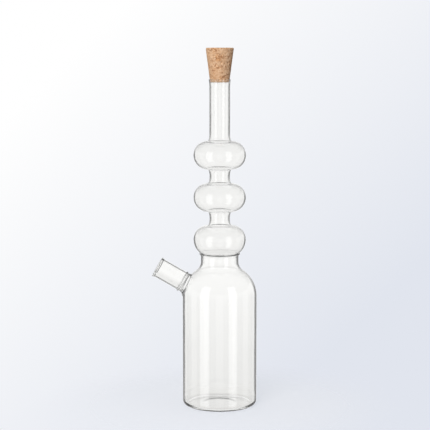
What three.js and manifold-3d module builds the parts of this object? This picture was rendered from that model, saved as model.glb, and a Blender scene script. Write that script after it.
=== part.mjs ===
// Oil and vinegar dispenser in clear blown glass. Millimetres, +Z up.
// The origin is the centre of the bottle's flat foot, and the spout points to -X.
// The vial's lowest bulb sits in the flared mouth of the bottle, and the cork closes the vial.
import * as THREE from "three";
import { mergeVertices } from "three/addons/utils/BufferGeometryUtils.js";
import Module from "manifold-3d";

const wasm = await Module();
wasm.setup();

// Bottle for the oil
const bottleDiameter = 74.6;
const bottleHeight = 154.5;
const bottleWall = 1.3;
const footThickness = 2;
const heelRadius = 5;
const shoulderRadius = 31;
const neckDiameter = 37.8;
const neckLength = 8.5; // straight neck and lip, above the shoulder's fillet
const neckFillet = 11;
const lipOverhang = 1.6; // how far the lip's edge stands out from the neck
const lipFlare = degrees(55); // how far the lip leans out from the neck
const lipThickness = 1; // the wall thins to this at the rim

// Spout, fused into the bottle's shoulder
const spoutDiameter = 19.9;
const spoutWall = 1.1;
const spoutLength = 32.8; // along its axis, from the shoulder to the mouth
const spoutTilt = degrees(30); // above the horizontal
const spoutPlace = degrees(25); // up the shoulder's arc, from where the straight wall ends
const weldSpread = 3; // how far the foot of the weld stands out from the tube
const weldLength = 2.4; // from the shoulder to the weld's bead
const weldBead = 1;
const mouthLength = 2.6; // end of the spout that opens out
const mouthFlare = 0.5;

// Vial for the vinegar: blown bulbs under a straight tube
const bulbCount = 3;
const bulbDiameter = 52.4;
const bulbHeight = 28.4;
const bulbPitch = 42.3;
const crownDiameter = 24.4; // where a bulb's curve ends and a neck or the tube begins
const waistDiameter = 20.2; // narrowest place between two bulbs
const vialWall = 0.9;
const vialFootDiameter = 19; // flat under the lowest bulb
const vialFootDrop = 17.3; // from the middle of the lowest bulb to that flat
const sealDiameter = 10; // drop of thicker glass where the foot was sealed
const sealHeight = 0.7;
const tubeDiameter = 20.6;
const tubeLength = 61; // from the top bulb's crown to the rim
const tubeRoot = 6.5; // height of the curve between crown and tube
const seatRunIn = 4; // length over which the tube opens to the cork's seat

// Cork stopper, a plain taper
const corkTopDiameter = 28;
const corkBottomDiameter = 19;
const corkHeight = 34;
const corkDepth = 3; // how far it goes into the tube
const corkEdge = 0.8; // worn edge at both ends

// Clearances between pieces
const lipGap = 0.22; // lowest bulb to the bottle's lip
const corkGap = 0.2; // cork to the tube, all round

// Fineness of the facets
const turnSteps = 32; // sides of a round piece
const outerSteps = 3; // half the steps in each arc of an outer profile
const innerSteps = 2; // the same for an inner profile

const quarter = Math.PI / 2;

function degrees(angle) {
  return THREE.MathUtils.degToRad(angle);
}

// Revolves a profile of radius and height about +Z, as a closed mesh with no doubled vertices.
function revolve(points) {
  const lathe = new THREE.LatheGeometry(points, turnSteps).rotateX(quarter);
  lathe.deleteAttribute("normal");
  lathe.deleteAttribute("uv");
  const merged = mergeVertices(lathe);
  const old = merged.index.array;
  const index = [];
  for (let i = 0; i < old.length; i += 3) {
    const [a, b, c] = [old[i], old[i + 1], old[i + 2]];
    if (a !== b && b !== c && c !== a) index.push(a, b, c);
  }
  merged.setIndex(index);
  merged.computeVertexNormals();
  return merged;
}

function toSolid(geometry) {
  const vertProperties = new Float32Array(geometry.attributes.position.array);
  const triVerts = new Uint32Array(geometry.index.array);
  return new wasm.Manifold(new wasm.Mesh({ numProp: 3, vertProperties, triVerts }));
}

function toGeometry(solid) {
  const { vertProperties, triVerts } = solid.getMesh();
  const geometry = new THREE.BufferGeometry();
  geometry.setAttribute("position", new THREE.BufferAttribute(vertProperties, 3));
  geometry.setIndex(new THREE.BufferAttribute(triVerts, 1));
  geometry.computeVertexNormals();
  return geometry;
}

// The shoulder is an arc tangent to the wall, then a fillet tangent to that arc and to the neck.
const neckFoot = bottleHeight - neckLength;
const filletCentre = new THREE.Vector2(neckDiameter / 2 + neckFillet, neckFoot);
const shoulderX = bottleDiameter / 2 - shoulderRadius;
const shoulderDrop = Math.sqrt((shoulderRadius + neckFillet) ** 2 - (filletCentre.x - shoulderX) ** 2);
const shoulderCentre = new THREE.Vector2(shoulderX, neckFoot - shoulderDrop);
const shoulderTurn = Math.atan2(shoulderDrop, filletCentre.x - shoulderX);

// The lip is an arc tangent to the neck, and ends in a half-round rim.
const rimRadius = lipThickness / 2;
const lipRadius = lipOverhang / (1 - Math.cos(lipFlare)) - rimRadius;
const lipRise = (lipRadius + rimRadius) * Math.sin(lipFlare);
const lipCentre = new THREE.Vector2(
  neckDiameter / 2 + lipRadius,
  bottleHeight - rimRadius - lipRise,
);
const rimCentre = new THREE.Vector2(
  neckDiameter / 2 + lipOverhang - rimRadius,
  bottleHeight - rimRadius,
);

// The lip's inner side is a wider arc, because the wall thins towards the rim.
const lipThinning = bottleWall - lipThickness * Math.cos(lipFlare);
const lipInnerRadius = lipRadius + lipThinning / (1 - Math.cos(lipFlare));
const lipInnerCentre = new THREE.Vector2(
  neckDiameter / 2 - bottleWall + lipInnerRadius,
  lipCentre.y + (lipRadius + lipThickness - lipInnerRadius) * Math.sin(lipFlare),
);

// One side of the bottle's wall from the axis to the rim, inset from the outer surface.
function bottleSide(inset, floor, steps) {
  const radius = bottleDiameter / 2 - inset;
  const heel = Math.max(heelRadius - inset, bottleWall / 2);
  const side = new THREE.Path();
  side.moveTo(0, floor);
  side.lineTo(radius - heel, floor);
  side.absarc(radius - heel, floor + heel, heel, -quarter, 0);
  side.absarc(shoulderCentre.x, shoulderCentre.y, shoulderRadius - inset, 0, shoulderTurn);
  const turned = Math.PI + shoulderTurn;
  side.absarc(filletCentre.x, filletCentre.y, neckFillet + inset, turned, Math.PI, true);
  const share = inset / bottleWall;
  const lip = lipCentre.clone().lerp(lipInnerCentre, share);
  const lipBend = THREE.MathUtils.lerp(lipRadius, lipInnerRadius, share);
  side.absarc(lip.x, lip.y, lipBend, Math.PI, Math.PI - lipFlare, true);
  return side.getPoints(steps);
}

function bottleShell() {
  const rim = new THREE.Path();
  rim.absarc(rimCentre.x, rimCentre.y, rimRadius, -lipFlare, Math.PI - lipFlare);
  const outside = bottleSide(0, 0, outerSteps);
  const inside = bottleSide(bottleWall, footThickness, innerSteps);
  return revolve([...outside, ...rim.getPoints(outerSteps), ...inside.reverse()]);
}

// What fills the bottle up to the middle of its wall: it trims the spout's inner end.
function bottleCore() {
  const core = bottleSide(bottleWall / 2, footThickness / 2, innerSteps);
  return revolve([...core, new THREE.Vector2(0, core.at(-1).y)]);
}

// The spout stands on the shoulder's arc. Its own profile runs along +Z from that point.
const spoutRadius = spoutDiameter / 2;
const spoutBore = spoutRadius - spoutWall;
const weldRadius = spoutRadius + weldSpread;
const weldSink = shoulderRadius - Math.sqrt(shoulderRadius ** 2 - weldRadius ** 2);
const spoutRoot = -(weldSink + 3 * bottleWall); // well inside the bottle's wall
const mouthRound = 0.4 * spoutWall; // rounding of both edges of the mouth

function placeSpout(geometry) {
  const x = shoulderCentre.x + shoulderRadius * Math.cos(spoutPlace);
  const z = shoulderCentre.y + shoulderRadius * Math.sin(spoutPlace);
  return geometry.rotateY(spoutTilt - quarter).translate(-x, 0, z);
}

function spoutOutside() {
  const side = new THREE.Path();
  side.moveTo(0, spoutRoot);
  side.lineTo(weldRadius, spoutRoot);
  side.absellipse(weldRadius, weldLength, weldSpread, weldLength + weldSink, 3 * quarter, Math.PI, true);
  side.absarc(spoutRadius, weldLength + weldBead, weldBead, -quarter, quarter);
  side.lineTo(spoutRadius, spoutLength - mouthLength);
  side.absarc(spoutRadius + mouthFlare - mouthRound, spoutLength - mouthRound, mouthRound, 0, quarter);
  side.lineTo(0, spoutLength);
  return placeSpout(revolve(side.getPoints(innerSteps)));
}

function spoutInside() {
  const side = new THREE.Path();
  side.moveTo(0, spoutRoot);
  side.lineTo(spoutBore, spoutRoot);
  side.lineTo(spoutBore, spoutLength - mouthLength);
  const edge = spoutBore + mouthFlare + mouthRound;
  side.absarc(edge, spoutLength - mouthRound, mouthRound, Math.PI, quarter, true);
  side.lineTo(edge, spoutLength + mouthRound);
  side.lineTo(0, spoutLength + mouthRound);
  return placeSpout(revolve(side.getPoints(innerSteps)));
}

function oilBottle() {
  const spout = toSolid(spoutOutside()).subtract(toSolid(bottleCore()));
  return toGeometry(toSolid(bottleShell()).add(spout).subtract(toSolid(spoutInside())));
}

// Heights on the vial, from its foot
const crownRadius = crownDiameter / 2;
const bulbReach = bulbDiameter / 2 - crownRadius;
const topCrown = vialFootDrop + (bulbCount - 1) * bulbPitch + bulbHeight / 2;
const vialHeight = topCrown + tubeLength;
const corkSeat = vialHeight - corkDepth;
const corkTaper = (corkTopDiameter - corkBottomDiameter) / 2 / corkHeight;

// Radius of the tube's bore beside the cork, at a height on the vial
function seatBore(height) {
  return corkBottomDiameter / 2 + corkGap + corkTaper * (height - corkSeat);
}

// One side of the vial's wall from the axis to the rim, inset from the outer surface.
function vialSide(inset, steps) {
  const footRadius = vialFootDiameter / 2;
  const reach = bulbReach - inset;
  const rise = bulbHeight / 2 - inset;
  const side = new THREE.Path();
  side.moveTo(0, 0);
  if (inset > 0) {
    side.absellipse(0, inset, sealDiameter / 2, sealHeight, quarter, 0, true);
  }
  side.lineTo(footRadius, inset);
  const footReach = bulbDiameter / 2 - footRadius - inset;
  side.absellipse(footRadius, vialFootDrop, footReach, vialFootDrop - inset, -quarter, 0);
  for (let bulb = 0; bulb < bulbCount; bulb += 1) {
    const middle = vialFootDrop + bulb * bulbPitch;
    if (bulb > 0) {
      const pinch = crownRadius - waistDiameter / 2 + inset;
      const halfNeck = (bulbPitch - bulbHeight) / 2 + inset;
      side.absellipse(crownRadius, middle - bulbPitch / 2, pinch, halfNeck, 3 * quarter, quarter, true);
      side.absellipse(crownRadius, middle, reach, rise, -quarter, 0);
    }
    side.absellipse(crownRadius, middle, reach, rise, 0, quarter);
  }
  const tube = tubeDiameter / 2 - inset;
  side.absellipse(crownRadius, topCrown + tubeRoot, crownRadius - tube, tubeRoot + inset,
    3 * quarter, Math.PI, true);
  const rim = vialHeight - vialWall / 2;
  side.lineTo(tube, corkSeat - seatRunIn);
  side.lineTo(seatBore(corkSeat) + vialWall - inset, corkSeat);
  side.lineTo(seatBore(rim) + vialWall - inset, rim);
  return side.getPoints(steps);
}

function vinegarVial() {
  const rim = new THREE.Path();
  const rimHeight = vialHeight - vialWall / 2;
  rim.absarc(seatBore(rimHeight) + vialWall / 2, rimHeight, vialWall / 2, 0, Math.PI);
  const outside = vialSide(0, outerSteps);
  const inside = vialSide(vialWall, innerSteps);
  return revolve([...outside, ...rim.getPoints(innerSteps), ...inside.reverse()]);
}

// Height of the lowest bulb's underside above the vial's foot, at a radius
function underside(radius) {
  const footRadius = vialFootDiameter / 2;
  const share = Math.max(radius - footRadius, 0) / (bulbDiameter / 2 - footRadius);
  return vialFootDrop * (1 - Math.sqrt(Math.max(1 - share ** 2, 0)));
}

// The vial comes down until its lowest bulb is the clearance away from the lip's inner side or its rim.
function vialSeat() {
  const heights = [];
  for (let angle = 90; angle <= 180; angle += 1) {
    const turn = degrees(angle);
    const onRim = turn < Math.PI - lipFlare;
    const centre = onRim ? rimCentre : lipInnerCentre;
    const reach = (onRim ? rimRadius : lipInnerRadius) + lipGap;
    const radius = centre.x + reach * Math.cos(turn);
    heights.push(centre.y + reach * Math.sin(turn) - underside(radius));
  }
  return Math.max(...heights);
}

function corkStopper() {
  const side = new THREE.Path();
  const bottom = corkBottomDiameter / 2;
  const top = corkTopDiameter / 2;
  side.moveTo(0, 0);
  side.lineTo(bottom - corkEdge, 0);
  side.lineTo(bottom + corkTaper * corkEdge, corkEdge);
  side.lineTo(top - corkTaper * corkEdge, corkHeight - corkEdge);
  side.lineTo(top - corkEdge, corkHeight);
  side.lineTo(0, corkHeight);
  return revolve(side.getPoints());
}

function piece(name, geometry, look) {
  const mesh = new THREE.Mesh(geometry, new THREE.MeshStandardMaterial(look));
  mesh.name = name;
  return mesh;
}

const glass = { color: 0xf2f6f6, roughness: 0.03, metalness: 0, transparent: true, opacity: 0.3 };
const cork = { color: 0xcfa27a, roughness: 0.85, metalness: 0 };

const dispenser = new THREE.Group();
dispenser.add(piece("oil_bottle", oilBottle(), glass));

const vial = new THREE.Group();
vial.position.z = vialSeat();
vial.add(piece("vinegar_vial", vinegarVial(), glass));

const stopper = piece("cork_stopper", corkStopper(), cork);
stopper.position.z = corkSeat;
vial.add(stopper);
dispenser.add(vial);

export default dispenser;
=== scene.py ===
from math import atan2, cos, degrees, pi, radians, sin, sqrt

import bmesh
import bpy
from mathutils import Matrix, Vector, noise


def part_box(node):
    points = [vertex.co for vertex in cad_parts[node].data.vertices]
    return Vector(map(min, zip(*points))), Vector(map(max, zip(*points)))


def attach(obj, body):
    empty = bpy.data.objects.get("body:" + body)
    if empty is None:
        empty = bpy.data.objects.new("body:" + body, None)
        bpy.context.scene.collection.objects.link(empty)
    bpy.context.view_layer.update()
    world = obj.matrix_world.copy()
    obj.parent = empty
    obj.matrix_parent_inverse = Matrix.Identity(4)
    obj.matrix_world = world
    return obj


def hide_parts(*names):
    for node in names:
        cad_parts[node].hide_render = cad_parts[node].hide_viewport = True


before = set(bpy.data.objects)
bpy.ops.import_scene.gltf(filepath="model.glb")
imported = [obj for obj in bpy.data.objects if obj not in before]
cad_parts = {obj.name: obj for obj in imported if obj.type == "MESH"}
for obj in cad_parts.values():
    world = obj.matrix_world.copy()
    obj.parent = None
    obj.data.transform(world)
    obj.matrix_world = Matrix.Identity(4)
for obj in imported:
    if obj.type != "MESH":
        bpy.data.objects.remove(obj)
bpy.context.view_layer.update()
scene = bpy.context.scene
mm = 0.001
print("frame loaded:", ", ".join(sorted(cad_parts)))


class Socket:  # an output; sums on it add Math nodes
    def __init__(self, look, link):
        self.look = look
        self.link = link

    def sum(self, operation, first, second):
        return self.look.add("ShaderNodeMath", {"operation": operation}, {0: first, 1: second})

    def __add__(self, other):
        return self.sum("ADD", self, other)

    def __sub__(self, other):
        return self.sum("SUBTRACT", self, other)

    def __rsub__(self, other):
        return self.sum("SUBTRACT", other, self)

    def __mul__(self, other):
        return self.sum("MULTIPLY", self, other)

    def __mod__(self, other):
        return self.sum("FLOORED_MODULO", self, other)

    def __abs__(self):
        return self.sum("ABSOLUTE", self, 0)

    __radd__ = __add__
    __rmul__ = __mul__


class Look:  # the nodes of one material, of a lamp, or of the world
    def __init__(self, owner):
        owner.use_nodes = True
        self.owner = owner
        self.tree = owner.node_tree
        self.tree.nodes.clear()

    def add(self, kind, settings, sockets, give=0):
        node = self.tree.nodes.new(kind)
        for name, value in settings.items():
            if name == "stops":
                self.setStops(node.color_ramp.elements, value)
            else:
                setattr(node, name, value)
        for name, value in sockets.items():
            if isinstance(value, Socket):
                self.tree.links.new(value.link, node.inputs[name])
            else:
                node.inputs[name].default_value = value
        return Socket(self, node.outputs[give]) if node.outputs else None

    def setStops(self, elements, stops):
        while len(elements) < len(stops):
            elements.new(1)
        for element, (place, colour) in zip(elements, stops):
            element.position = place
            element.color = (*colour, 1)

    def place(self):
        return self.add("ShaderNodeTexCoord", {}, {}, "Object")

    def cloud(self, place, scale, detail, give=0):
        return self.add("ShaderNodeTexNoise", {}, {"Vector": place, "Scale": scale, "Detail": detail}, give)

    def mixColour(self, share, first, second):
        return self.add("ShaderNodeMix", {"data_type": "RGBA"}, {0: share, 6: first, 7: second}, 2)

    def fade(self, value, low, high, kind="SMOOTHSTEP"):  # 0 at low, 1 at high
        sockets = {"Value": value, "From Min": low, "From Max": high}
        return self.add("ShaderNodeMapRange", {"interpolation_type": kind}, sockets)

    def some(self, count):  # 0 for a count of none, 1 for one or more
        return self.fade(count, 0.2, 0.8)

    def path(self, name):  # what kind of ray it is, or what it met so far
        return self.add("ShaderNodeLightPath", {}, {}, name)


class Outline:  # half a section in the XZ plane, in mm, drawn on from its last point
    def __init__(self, r, z):
        self.bm = bmesh.new()
        self.tip = self.bm.verts.new((r * mm, 0, z * mm))

    def grow(self, steps, **path):
        old = set(self.bm.verts)
        made = bmesh.ops.spin(self.bm, geom=[self.tip], axis=(0, -1, 0), steps=steps, **path)
        self.tip = [v for v in made["geom_last"] if isinstance(v, bmesh.types.BMVert)][0]
        return [v for v in self.bm.verts if v not in old]

    def line(self, r, z, steps=1):
        end = Vector((r * mm, 0, z * mm))
        self.grow(steps, dvec=(end - self.tip.co) / steps, angle=0)
        return self

    def arc(self, r, z, turn, steps, wide=1, tall=1):  # turn in degrees, anticlockwise
        centre = Vector((r * mm, 0, z * mm))
        fresh = self.grow(steps, cent=centre, angle=radians(turn))
        bmesh.ops.scale(self.bm, vec=(wide, 1, tall), space=Matrix.Translation(-centre), verts=fresh)
        return self

    def turned(self, sides):  # spun about Z, closed at the axis
        bm = self.bm
        bmesh.ops.spin(bm, geom=bm.verts[:] + bm.edges[:], axis=(0, 0, 1), angle=2 * pi,
                       steps=sides, use_merge=True)
        bmesh.ops.remove_doubles(bm, verts=bm.verts[:], dist=0.001 * mm)
        bmesh.ops.recalc_face_normals(bm, faces=bm.faces[:])
        bm.normal_update()
        return bm


def makePiece(name, bm, look):
    mesh = bpy.data.meshes.new(name)
    bm.to_mesh(mesh)
    bm.free()
    piece = bpy.data.objects.new(name, mesh)
    scene.collection.objects.link(piece)
    mesh.materials.append(look.owner)
    return piece


def smooth(piece, crease):  # smooth shading, with edges sharper than the crease kept
    piece.data.shade_smooth()
    piece.data.set_sharp_from_angle(angle=radians(crease))


def carve(piece, tool, operation):  # a boolean that is applied at once
    cut = piece.modifiers.new("carve", "BOOLEAN")
    cut.object = tool
    cut.operation = operation
    cut.solver = "EXACT"
    view = bpy.context.evaluated_depsgraph_get()
    mesh = bpy.data.meshes.new_from_object(piece.evaluated_get(view))
    piece.modifiers.remove(cut)
    piece.data = mesh


def cleanSeams(piece, size):  # slivers that the cuts left are merged away
    bm = bmesh.new()
    bm.from_mesh(piece.data)
    bmesh.ops.remove_doubles(bm, verts=bm.verts[:], dist=size)
    bmesh.ops.dissolve_degenerate(bm, dist=size, edges=bm.edges[:])
    bm.to_mesh(piece.data)
    bm.free()


wanderStart = {"inside": Vector((0, 0, 5)), "outside": Vector((9, 0, 0))}


def uneven(bm, wander):  # hand-blown walls: both faces wander, the inner one more
    for v in bm.verts:
        out = Vector((v.co.x, v.co.y, 0))
        if out.length < wander["calm"] * mm:  # the middle of the foot stays
            continue
        out.normalize()
        face = "inside" if v.normal.dot(out) < 0 else "outside"
        shift = noise.noise(v.co / (wander["size"] * mm) + wanderStart[face])
        v.co += out * shift * wander[face] * mm


cameraView = {"x": -4.7, "y": -1321, "z": 340, "tilt": 6.35, "lens": 111.1}

eye = bpy.data.cameras.new("photo_camera")
eye.lens = cameraView["lens"]
eyeObject = bpy.data.objects.new("photo_camera", eye)
eyeObject.location = [cameraView[k] * mm for k in "xyz"]
eyeObject.rotation_euler = (radians(90 - cameraView["tilt"]), 0, 0)
scene.collection.objects.link(eyeObject)
scene.camera = eyeObject
print("camera placed")


glass = {"index": 1.47, "waveDetail": 2, "hazeDetail": 5, "filmFrom": 0.5, "filmTo": 0.8}


def glassLook(name, finish):
    look = Look(bpy.data.materials.new(name))
    place = look.place()
    wander = look.cloud(place, finish["wave"], glass["waveDetail"])
    haze = look.cloud(place, finish["haze"], glass["hazeDetail"])
    film = look.fade(haze, glass["filmFrom"], glass["filmTo"])
    tint = look.mixColour(haze, finish["tint"], finish["clear"])
    relief = {"Strength": finish["depth"], "Distance": mm, "Height": wander}
    body = look.add("ShaderNodeBsdfPrincipled", {}, {
        "Base Color": tint,
        "Roughness": film * finish["film"],
        "IOR": glass["index"],
        "Transmission Weight": 1,
        "Normal": look.add("ShaderNodeBump", {}, relief),
    })
    clear = look.add("ShaderNodeBsdfTransparent", {}, {"Color": finish["shade"]})
    both = look.add("ShaderNodeMixShader", {}, {0: look.path("Is Shadow Ray"), 1: body, 2: clear})
    look.add("ShaderNodeOutputMaterial", {}, {"Surface": both})
    return look


bottle = {
    "radius": 37.3, "height": 154.5, "wall": 1.3, "floor": 2, "heel": 5,
    "shoulder": 31, "neck": 18.9, "neckFoot": 146, "neckFillet": 11,
    "overhang": 1.6, "flare": 55, "lip": 1,
    "rings": [(31, 1.2, 0.3), (17, 2.5, 0.15)],  # soft steps in the floor: radius, half width, fall
    "sides": 144, "crease": 42, "sliver": 0.01,
    "steps": {
        "foot": 10, "heel": 12, "side": 40, "shoulder": 36, "fillet": 24, "neck": 5,
        "lip": 10, "rim": 12, "innerHeel": 10, "ring": 6, "middle": 6,
    },
    "wander": {"outside": 0.02, "inside": 0.06, "size": 30, "calm": 2},
    "finish": {
        "wave": 40, "depth": 0.02, "haze": 90, "film": 0.02,
        "tint": (0.985, 0.985, 0.98, 1), "clear": (1, 1, 0.995, 1), "shade": (0.86, 0.87, 0.88, 1),
    },
}


def bottleShell(inset, floor, fillOnly):
    b = bottle
    n = b["steps"]
    rim = b["lip"] / 2
    lean = cos(radians(b["flare"]))
    rise = sin(radians(b["flare"]))
    lip = b["overhang"] / (1 - lean) - rim
    lipR = b["neck"] + lip
    lipZ = b["height"] - rim - (lip + rim) * rise
    inLip = lip + (b["wall"] - b["lip"] * lean) / (1 - lean)  # the wall thins towards the rim
    inLipR = b["neck"] - b["wall"] + inLip
    inLipZ = lipZ + (lip + b["lip"] - inLip) * rise
    filletR = b["neck"] + b["neckFillet"]
    shoulderR = b["radius"] - b["shoulder"]
    dip = sqrt((b["shoulder"] + b["neckFillet"]) ** 2 - (filletR - shoulderR) ** 2)
    shoulderZ = b["neckFoot"] - dip
    turn = degrees(atan2(dip, filletR - shoulderR))
    r = b["radius"] - inset
    heel = b["heel"] - inset
    side = Outline(0, floor)
    side.line(r - heel, floor, n["foot"]).arc(r - heel, floor + heel, 90, n["heel"])
    side.line(r, shoulderZ, n["side"]).arc(shoulderR, shoulderZ, turn, n["shoulder"])
    side.arc(filletR, b["neckFoot"], -turn, n["fillet"]).line(b["neck"] - inset, lipZ, n["neck"])
    if fillOnly:
        side.line(0, lipZ)
        return side.turned(b["sides"])
    side.arc(lipR, lipZ, -b["flare"], n["lip"])
    side.arc(b["neck"] + b["overhang"] - rim, b["height"] - rim, 180, n["rim"])
    side.arc(inLipR, inLipZ, b["flare"], n["lip"])
    side.line(b["neck"] - b["wall"], b["neckFoot"], n["neck"])
    side.arc(filletR, b["neckFoot"], turn, n["fillet"]).arc(shoulderR, shoulderZ, -turn, n["shoulder"])
    inner = b["radius"] - b["wall"]
    heel = b["heel"] - b["wall"]
    side.line(inner, b["floor"] + heel, n["side"])
    side.arc(inner - heel, b["floor"] + heel, -90, n["innerHeel"])
    depth = b["floor"]
    for ring, soft, fall in b["rings"]:  # the floor gets thinner towards its middle
        for step in range(n["ring"] + 1):
            share = step / n["ring"]
            fallen = fall * share * share * (3 - 2 * share)
            side.line(ring + soft * (1 - 2 * share), depth - fallen)
        depth -= fall
    side.line(0, depth, n["middle"])
    bm = side.turned(b["sides"])
    uneven(bm, b["wander"])
    return bm


spout = {
    "radius": 9.95, "wall": 1.1, "length": 32.8, "tilt": 30, "x": -34.4, "z": 124.36, "root": -6.73,
    "mouthLength": 2.6, "mouthFlare": 0.7, "mouthStep": 0.6, "mouthRound": 0.4,  # round: share of the wall
    "weldSpread": 3, "weldLength": 2.4, "weldSink": 2.83, "bead": 1, "beadInside": 0.75,
    "lump": 0.25, "lumpSize": 9, "lumpAt": 2.2, "lumpReach": 5, "lumpFrom": 8,
    "boreBelow": 1, "boreAbove": 2, "sides": 112,
    "steps": {
        "root": 4, "weld": 10, "bead": 10, "tube": 16, "flare": 2, "mouth": 3, "round": 6,
        "boreRoot": 8, "bore": 20,
    },
}


def placeSpout(bm):
    turn = Matrix.Rotation(radians(spout["tilt"] - 90), 4, "Y")
    shift = Matrix.Translation((spout["x"] * mm, 0, spout["z"] * mm))
    bmesh.ops.transform(bm, matrix=shift @ turn, verts=bm.verts[:])
    return bm


def spoutOutside():
    s = spout
    n = s["steps"]
    foot = s["radius"] + s["weldSpread"]
    rise = s["weldLength"] + s["weldSink"]
    mouth = s["mouthRound"] * s["wall"]
    edge = s["radius"] + s["mouthFlare"]
    tubeEnd = s["length"] - s["mouthLength"]
    side = Outline(0, s["root"])
    side.line(foot, s["root"]).line(foot, -s["weldSink"], n["root"])
    side.arc(foot, s["weldLength"], -90, n["weld"], wide=s["weldSpread"] / rise)
    side.arc(s["radius"], s["weldLength"] + s["bead"], 180, n["bead"])
    side.line(s["radius"], tubeEnd, n["tube"]).line(edge, tubeEnd + s["mouthStep"], n["flare"])
    side.line(edge, s["length"] - mouth, n["mouth"])
    side.arc(edge - mouth, s["length"] - mouth, 90, n["round"]).line(0, s["length"])
    bm = side.turned(s["sides"])
    for v in bm.verts:  # the weld was worked by hand
        near = max(0, 1 - abs(v.co.z / mm - s["lumpAt"]) / s["lumpReach"])
        out = Vector((v.co.x, v.co.y, 0))
        if near and out.length > s["lumpFrom"] * mm:
            lump = noise.noise(v.co / (s["lumpSize"] * mm))
            v.co += out.normalized() * lump * near * s["lump"] * mm
    return placeSpout(bm)


def spoutBore():
    s = spout
    n = s["steps"]
    bore = s["radius"] - s["wall"]
    mouth = s["mouthRound"] * s["wall"]
    bead = s["weldLength"] + s["bead"]
    start = s["root"] - s["boreBelow"]
    end = s["length"] + s["boreAbove"]
    side = Outline(0, start)
    side.line(bore, start).line(bore, bead - s["beadInside"], n["boreRoot"])
    side.arc(bore, bead, 180, n["bead"])  # the bead is hollow
    side.line(bore, s["length"] - mouth, n["bore"])
    side.arc(bore + mouth, s["length"] - mouth, -90, n["round"])
    side.line(bore + mouth, end).line(0, end)
    return placeSpout(side.turned(s["sides"]))


bottleGlass = glassLook("bottle_glass", bottle["finish"])
bottlePiece = makePiece("oil_bottle_glass", bottleShell(0, 0, False), bottleGlass)
stub = makePiece("spout_stub", spoutOutside(), bottleGlass)
core = makePiece("bottle_core", bottleShell(bottle["wall"] / 2, bottle["floor"] / 2, True), bottleGlass)
bore = makePiece("spout_bore", spoutBore(), bottleGlass)
carve(stub, core, "DIFFERENCE")
carve(bottlePiece, stub, "UNION")
carve(bottlePiece, bore, "DIFFERENCE")
for tool in (stub, core, bore):
    bpy.data.objects.remove(tool)
cleanSeams(bottlePiece, bottle["sliver"] * mm)
smooth(bottlePiece, bottle["crease"])
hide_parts("oil_bottle")
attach(bottlePiece, "bottle")
print("bottle made:", len(bottlePiece.data.polygons), "faces")


vial = {
    "bulbs": 3, "bulb": 26.2, "bulbRise": 14.2, "pitch": 42.3, "crown": 12.2, "waist": 10.1,
    "wall": 0.9, "foot": 9.5, "footDrop": 17.3, "seal": 5, "sealRise": 0.7,
    "tube": 10.3, "root": 6.5, "runIn": 170.1, "seat": 174.1, "seatBore": 9.7,
    "rim": 176.65, "rimBore": 10.04, "sides": 128, "crease": 42,
    "steps": {
        "foot": 3, "lowBulb": 20, "bulb": 18, "waist": 20, "root": 8, "tube": 20,
        "runIn": 3, "seat": 2, "rim": 10, "floor": 2, "seal": 8,
    },
    "wander": {"outside": 0.02, "inside": 0.04, "size": 12, "calm": 2},
    "finish": {
        "wave": 70, "depth": 0.02, "haze": 120, "film": 0.02, "shade": (0.88, 0.89, 0.9, 1),
        "tint": (0.943, 0.943, 0.938, 1), "clear": (0.962, 0.962, 0.957, 1),
    },
}


def vialShell():
    v = vial
    n = v["steps"]
    w = v["wall"]
    crown = v["crown"]
    reach = v["bulb"] - crown
    rise = v["bulbRise"]
    middles = [v["footDrop"] + k * v["pitch"] for k in range(v["bulbs"])]
    halfNeck = v["pitch"] / 2 - rise
    rootZ = middles[-1] + rise + v["root"]
    side = Outline(0, 0).line(v["foot"], 0, n["foot"])
    side.arc(v["foot"], v["footDrop"], 90, n["lowBulb"], wide=(v["bulb"] - v["foot"]) / v["footDrop"])
    for middle in middles:
        if middle > v["footDrop"]:
            pinch = crown - v["waist"]
            side.arc(crown, middle - v["pitch"] / 2, -180, n["waist"], wide=pinch / halfNeck)
            side.arc(crown, middle, 90, n["bulb"], wide=reach / rise)
        side.arc(crown, middle, 90, n["bulb"], tall=rise / reach)
    side.arc(crown, rootZ, -90, n["root"], wide=(crown - v["tube"]) / v["root"])
    side.line(v["tube"], v["runIn"], n["tube"]).line(v["seatBore"] + w, v["seat"], n["runIn"])
    side.line(v["rimBore"] + w, v["rim"], n["seat"])
    side.arc(v["rimBore"] + w / 2, v["rim"], 180, n["rim"])
    side.line(v["seatBore"], v["seat"], n["seat"]).line(v["tube"] - w, v["runIn"], n["runIn"])
    side.line(v["tube"] - w, rootZ, n["tube"])
    side.arc(crown, rootZ, 90, n["root"], tall=(v["root"] + w) / (crown - v["tube"] + w))
    for middle in reversed(middles):
        side.arc(crown, middle, -90, n["bulb"], wide=(reach - w) / (rise - w))
        if middle > v["footDrop"]:
            side.arc(crown, middle, -90, n["bulb"], tall=(rise - w) / (reach - w))
            pinch = crown - v["waist"] + w
            side.arc(crown, middle - v["pitch"] / 2, 180, n["waist"], wide=pinch / (halfNeck + w))
    footReach = v["bulb"] - v["foot"] - w
    side.arc(v["foot"], v["footDrop"], -90, n["lowBulb"], tall=(v["footDrop"] - w) / footReach)
    side.line(v["seal"], w, n["floor"]).arc(0, w, 90, n["seal"], tall=v["sealRise"] / v["seal"])
    bm = side.turned(v["sides"])
    uneven(bm, v["wander"])
    bmesh.ops.translate(bm, verts=bm.verts[:], vec=(0, 0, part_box("vinegar_vial")[0].z))
    return bm


vialPiece = makePiece("vinegar_vial_glass", vialShell(), glassLook("vial_glass", vial["finish"]))
smooth(vialPiece, vial["crease"])
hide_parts("vinegar_vial")
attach(vialPiece, "vial")
print("vial made:", len(vialPiece.data.polygons), "faces")


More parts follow.
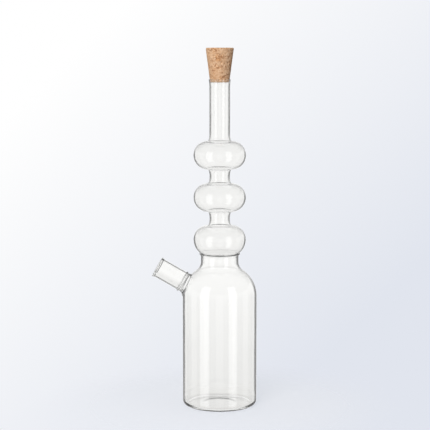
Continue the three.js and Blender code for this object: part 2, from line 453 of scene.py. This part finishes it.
cork = {
    "top": 14, "bottom": 9.5, "height": 34, "edge": 0.8, "sides": 176, "crease": 50,
    "steps": {"bottom": 16, "edge": 2, "side": 64, "top": 22},
    "grain": 1.7, "groove": 0.12, "grooveWidth": 0.22, "step": 0.08, "stepMix": 7.3,
    "pit": 0.6, "pitSize": 3.2, "pitFrom": 0.42, "pitSoft": 0.3, "pitStart": Vector((3, 8, 1)),
}

corkFinish = {
    "light": (0.76, 0.53, 0.345), "mid": (0.65, 0.4, 0.234), "dark": (0.42, 0.22, 0.112),
    "lightAt": 0.85, "midAt": 0.45, "darkAt": 0.12,
    "fleck": (0.3, 0.124, 0.05, 1), "rust": (0.5, 0.215, 0.07, 1), "seam": (0.5, 0.285, 0.16, 1),
    "stir": (500, 2), "fine": (2600, 4), "broad": (120, 3),  # scale and detail of each noise
    "crumb": (900, 2), "curl": (240, 1),
    "stirBy": 0.0012, "crumbFade": (0.32, 0.68),
    "grainShare": 0.34, "crumbShare": 0.36, "fineShare": 0.15, "broadShare": 0.15,
    "seamFade": (0.09, 0), "seamShare": 0.55,
    "curlMiddle": 0.5, "veinFade": (0.045, 0.015), "veinWhere": (0.5, 0.56),
    "darkGrains": (0.9, 0.93), "darkWhere": (0.36, 0.5), "fleckShare": 0.8,
    "rustWhere": (0.56, 0.64), "rustFade": (0.56, 0.44), "rustShare": 0.7,
    "fineHigh": 0.5, "seamDeep": 0.7, "fleckDeep": 0.6, "bump": 0.4, "bumpDepth": 0.25,
    "rough": 0.82, "roughFine": 0.16, "shine": 0.25,
}


def corkLook():
    c = corkFinish
    look = Look(bpy.data.materials.new("agglomerated_cork"))
    place = look.place()
    stir = look.cloud(place, *c["stir"], "Color")
    bend = {0: stir, 1: (c["stirBy"],) * 3, 2: place}
    bent = look.add("ShaderNodeVectorMath", {"operation": "MULTIPLY_ADD"}, bend)
    grains = {"Vector": bent, "Scale": 1 / (cork["grain"] * mm), "Randomness": 1}
    cell = look.add("ShaderNodeTexVoronoi", {}, grains, "Color")
    edge = look.add("ShaderNodeTexVoronoi", {"feature": "DISTANCE_TO_EDGE"}, grains, "Distance")
    tone = look.add("ShaderNodeSeparateColor", {}, {"Color": cell}, 0)
    pick = look.add("ShaderNodeSeparateColor", {}, {"Color": cell}, 1)
    fine = look.cloud(place, *c["fine"])
    broad = look.cloud(place, *c["broad"])
    crumb = look.cloud(bent, *c["crumb"])
    crumbs = look.fade(crumb, *c["crumbFade"], "LINEAR")
    shade = tone * c["grainShare"] + crumbs * c["crumbShare"]
    shade = shade + fine * c["fineShare"] + broad * c["broadShare"]
    stops = [(c[name + "At"], c[name]) for name in ("dark", "mid", "light")]
    flesh = look.add("ShaderNodeValToRGB", {"stops": stops}, {0: shade})
    seam = look.fade(edge, *c["seamFade"])
    seamed = look.mixColour(seam * c["seamShare"], flesh, c["seam"])
    curl = look.cloud(bent, *c["curl"])
    vein = look.fade(abs(curl - c["curlMiddle"]), *c["veinFade"]) * look.fade(broad, *c["veinWhere"])
    darkGrain = look.fade(pick, *c["darkGrains"]) * look.fade(fine, *c["darkWhere"])
    fleck = look.add("ShaderNodeMath", {"operation": "MAXIMUM"}, {0: darkGrain, 1: vein})
    rust = look.fade(broad, *c["rustWhere"]) * look.fade(crumb, *c["rustFade"])
    rusty = look.mixColour(rust * c["rustShare"], seamed, c["rust"])
    relief = fine * c["fineHigh"] - seam * c["seamDeep"] - fleck * c["fleckDeep"]
    bump = {"Strength": c["bump"], "Distance": c["bumpDepth"] * mm, "Height": relief}
    body = look.add("ShaderNodeBsdfPrincipled", {}, {
        "Base Color": look.mixColour(fleck * c["fleckShare"], rusty, c["fleck"]),
        "Roughness": c["rough"] + fine * c["roughFine"],
        "Specular IOR Level": c["shine"],
        "Normal": look.add("ShaderNodeBump", {}, bump),
    })
    look.add("ShaderNodeOutputMaterial", {}, {"Surface": body})
    return look


def corkShape():
    c = cork
    n = c["steps"]
    slope = (c["top"] - c["bottom"]) / c["height"] * c["edge"]
    side = Outline(0, 0).line(c["bottom"] - c["edge"], 0, n["bottom"])
    side.line(c["bottom"] + slope, c["edge"], n["edge"])
    side.line(c["top"] - slope, c["height"] - c["edge"], n["side"])
    side.line(c["top"] - c["edge"], c["height"], n["edge"]).line(0, c["height"], n["top"])
    bm = side.turned(c["sides"])
    moves = []
    for v in bm.verts:
        near, points = noise.voronoi(v.co / (c["grain"] * mm))
        groove = max(0, 1 - (near[1] - near[0]) / c["grooveWidth"])
        step = noise.cell(points[0] * c["stepMix"])
        hollow = noise.noise(v.co / (c["pitSize"] * mm) + c["pitStart"])
        pit = max(0, hollow - c["pitFrom"]) / c["pitSoft"]
        depth = groove * c["groove"] + step * c["step"] + min(pit, 1) * c["pit"]
        moves.append((v, v.normal * -depth * mm))
    for v, move in moves:
        v.co += move
    bmesh.ops.translate(bm, verts=bm.verts[:], vec=(0, 0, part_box("cork_stopper")[0].z))
    return bm


corkPiece = makePiece("cork_stopper_grain", corkShape(), corkLook())
smooth(corkPiece, cork["crease"])
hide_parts("cork_stopper")
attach(corkPiece, "cork")
print("cork made:", len(corkPiece.data.polygons), "faces")


ground = {  # foot and under: what rays through the glass see round the bottle and beneath it
    "radius": 0.24, "sides": 96, "gap": 0.3, "fadeFrom": 0.06, "fadeTo": 0.2,
    "colour": (0.345, 0.345, 0.353, 1), "glow": (0.5, 0.52, 0.56, 1),
    "footGlow": (0.8, 0.8, 0.79, 1), "footFrom": 0.055, "footTo": 0.085,
    # painted shadow: a darker glow for the floor seen through the glass under the foot, and the radii where
    # it fades out
    "paintedShadowGlow": (0.64, 0.64, 0.63, 1), "paintedShadowFrom": 0.034, "paintedShadowTo": 0.044,
}


def groundLook():
    g = ground
    look = Look(bpy.data.materials.new("pale_floor"))
    away = look.add("ShaderNodeVectorMath", {"operation": "LENGTH"}, {0: look.place()}, "Value")
    matt = look.add("ShaderNodeBsdfDiffuse", {}, {"Color": g["colour"]})
    seen = look.path("Is Camera Ray") + look.path("Is Glossy Ray")
    inGlass = look.path("Is Transmission Ray")
    under = look.fade(away, g["paintedShadowFrom"], g["paintedShadowTo"])  # painted shadow: the floor under the foot, seen through the glass, glows darker
    foot = look.mixColour(under, g["paintedShadowGlow"], g["footGlow"])
    tone = look.mixColour(inGlass, g["glow"], foot)
    lift = look.add("ShaderNodeEmission", {}, {"Color": tone, "Strength": seen})
    lit = look.add("ShaderNodeAddShader", {}, {0: matt, 1: lift})
    pale = look.add("ShaderNodeMixShader", {}, {0: inGlass, 1: lit, 2: lift})
    bare = look.add("ShaderNodeBsdfTransparent", {}, {})
    edge = look.fade(away, g["fadeFrom"], g["fadeTo"])
    edge = edge + inGlass * (look.fade(away, g["footFrom"], g["footTo"]) - edge)
    mirrored = look.some(look.path("Glossy Depth"))  # reflections see past the floor
    edge = edge + mirrored * (1 - edge)
    faded = look.add("ShaderNodeMixShader", {}, {0: edge, 1: pale, 2: bare})
    look.add("ShaderNodeOutputMaterial", {}, {"Surface": faded})
    return look


floorMesh = bmesh.new()
bmesh.ops.create_circle(floorMesh, cap_ends=True, segments=ground["sides"], radius=ground["radius"])
bmesh.ops.translate(floorMesh, verts=floorMesh.verts[:], vec=(0, 0, -ground["gap"] * mm))
floorPiece = makePiece("floor", floorMesh, groundLook())


studio = {  # angles in degrees: azimuth from straight behind the object, height from level
    "white": (1, 1, 1, 1), "haze": (0.753, 0.783, 0.855, 1), "dark": (0.02, 0.02, 0.02, 1),
    "slant": (2.37, 0, -2.47), "slantStart": 0.277, "ambient": 0.45,
    "bright": (1, 1, 0.995, 1), "inGlass": (0.835, 0.835, 0.83, 1), "brightTo": -7.5, "greyFrom": -14,
    "windows": 8, "windowHalf": 10, "soft": 3, "narrower": 6, "oddFrom": 0.49, "oddTo": 0.51,
    "clearFrom": 33.75, "clearSoft": 2, "behindSoft": 1,
    "head": 20, "headTurned": 14, "sill": -24, "deep": -44,
    "level": -9, "steepFrom": 5, "steepTo": 15, "lift": 0.6, "drop": 0.25,
    "flank": 0.3, "flankTo": 60, "flankSoft": 10,
}
wallPasses = 2  # a ray that turned inside one wall went in and out


def windowShade(look, azimuth, height, straight):  # 0 in the bright windows all round, 1 between them
    s = studio
    step = 360 / s["windows"]
    turned = 1 - straight  # the ray turned in a wall
    aside = abs((azimuth * (1 / step) + 0.5) % 1 - 0.5) * step
    odd = look.fade(abs((azimuth * (0.5 / step) + 0.5) % 1 - 0.5) * 2, s["oddFrom"], s["oddTo"])
    slim = odd * turned * s["narrower"]  # every other window is narrower
    far = look.fade(abs(azimuth), s["clearFrom"], s["clearFrom"] + s["clearSoft"])
    beside = look.fade(aside + slim, s["windowHalf"], s["windowHalf"] + s["soft"])
    beside = beside * (1 - far * straight)  # plain glass is clear from all sides
    upward = look.fade(height - s["level"], s["steepFrom"], s["steepTo"]) * s["lift"]
    downward = look.fade(s["level"] - height, s["steepFrom"], s["steepTo"]) * s["drop"]
    beside = beside * (1 - (upward + downward) * turned)  # sloping walls have paler outlines
    behind = look.fade(abs(azimuth), step / 2, step / 2 - s["behindSoft"])
    below = look.fade(height, s["sill"], s["sill"] - s["soft"]) * behind * straight
    head = straight * (s["head"] - s["headTurned"]) + s["headTurned"]
    above = look.fade(height - head, 0, s["soft"])
    clear = (1 - beside) * (1 - below) * (1 - above)
    return (1 - clear) * look.fade(height, s["deep"] - s["soft"], s["deep"])


def skyLook():
    s = studio
    look = Look(bpy.data.worlds.new("studio"))
    way = look.add("ShaderNodeTexCoord", {}, {}, "Generated")
    along = {0: way, 1: s["slant"]}
    slant = look.add("ShaderNodeVectorMath", {"operation": "DOT_PRODUCT"}, along, "Value")
    turnTo = look.fade(slant + s["slantStart"], 0, 1, "LINEAR")
    backdrop = look.mixColour(turnTo, s["white"], s["haze"])
    seen = look.path("Is Camera Ray") + look.path("Is Glossy Ray")  # through glass counts as glossy too
    through = look.path("Is Transmission Ray")
    passes = look.path("Transmission Depth") - wallPasses
    turns = look.path("Glossy Depth")
    bounced = look.some(turns * passes * passes)
    x, y, z = [look.add("ShaderNodeSeparateXYZ", {}, {0: way}, axis) for axis in "XYZ"]
    azimuth = look.add("ShaderNodeMath", {"operation": "ARCTAN2"}, {0: x, 1: y}) * degrees(1)
    height = look.add("ShaderNodeMath", {"operation": "ARCSINE"}, {0: z}) * degrees(1)
    greyer = look.fade(height, s["brightTo"], s["greyFrom"])
    neutral = look.mixColour(greyer, s["bright"], s["inGlass"])
    window = windowShade(look, azimuth, height, 1 - look.some(turns))
    aside = abs(azimuth)
    flank = look.fade(aside, s["windowHalf"], s["windowHalf"] + s["soft"])
    flank = flank * look.fade(aside, s["flankTo"], s["flankTo"] - s["flankSoft"]) * s["flank"]
    shade = window * through * (1 - bounced) + flank * (seen - through) * bounced  # flanks: grey cards
    plain = look.mixColour(bounced, look.mixColour(through, backdrop, neutral), s["white"])
    colour = look.mixColour(shade, plain, s["dark"])
    strength = seen * (1 - s["ambient"]) + s["ambient"]
    glow = look.add("ShaderNodeBackground", {}, {"Color": colour, "Strength": strength})
    look.add("ShaderNodeOutputWorld", {}, {"Surface": glow})
    return look


scene.world = skyLook().owner

lamps = {
    "left_softbox": {"angle": -48, "reach": 0.75, "z": 0.15, "wide": 0.41, "tall": 1.2, "glow": 1.3},
    "right_softbox": {"angle": 41, "reach": 0.75, "z": 0.15, "wide": 0.35, "tall": 1.2, "glow": 1.3},
    "front_fill": {"angle": 0, "reach": 0.9, "z": 0.15, "wide": 3, "tall": 1.6, "glow": 0.16},
    "key": {"angle": -18, "reach": 1.1, "z": 0.9, "wide": 0.6, "tall": 0.6, "glow": 13},
}
lampAim = Vector((0, 0, 0.15))


def reflectedOnly(light):  # the lamp shows as a reflection in a front wall, and not through the glass
    look = Look(light)
    mirrored = look.some(look.path("Glossy Depth"))
    inFront = 1 - look.some(look.path("Transmission Depth") - wallPasses)
    beam = look.add("ShaderNodeEmission", {}, {"Strength": mirrored * inFront})
    look.add("ShaderNodeOutputLight", {}, {"Surface": beam})


for name, lamp in lamps.items():
    light = bpy.data.lights.new(name, "AREA")
    light.shape = "RECTANGLE"
    light.size = lamp["wide"]
    light.size_y = lamp["tall"]
    light.energy = lamp["glow"] * lamp["wide"] * lamp["tall"] * pi
    lampObject = bpy.data.objects.new(name, light)
    angle = radians(lamp["angle"])
    lampObject.location = (lamp["reach"] * sin(angle), -lamp["reach"] * cos(angle), lamp["z"])
    aim = lampAim - lampObject.location
    lampObject.rotation_euler = aim.to_track_quat("-Z", "Y").to_euler()
    isKey = name == "key"  # the key lights the cork and the floor, the others are only reflected
    lampObject.visible_camera = False
    lampObject.visible_transmission = not isKey
    lampObject.visible_glossy = not isKey
    lampObject.visible_diffuse = isKey
    if not isKey:
        reflectedOnly(light)
    scene.collection.objects.link(lampObject)

scene.view_settings.view_transform = "Standard"
print("studio set")
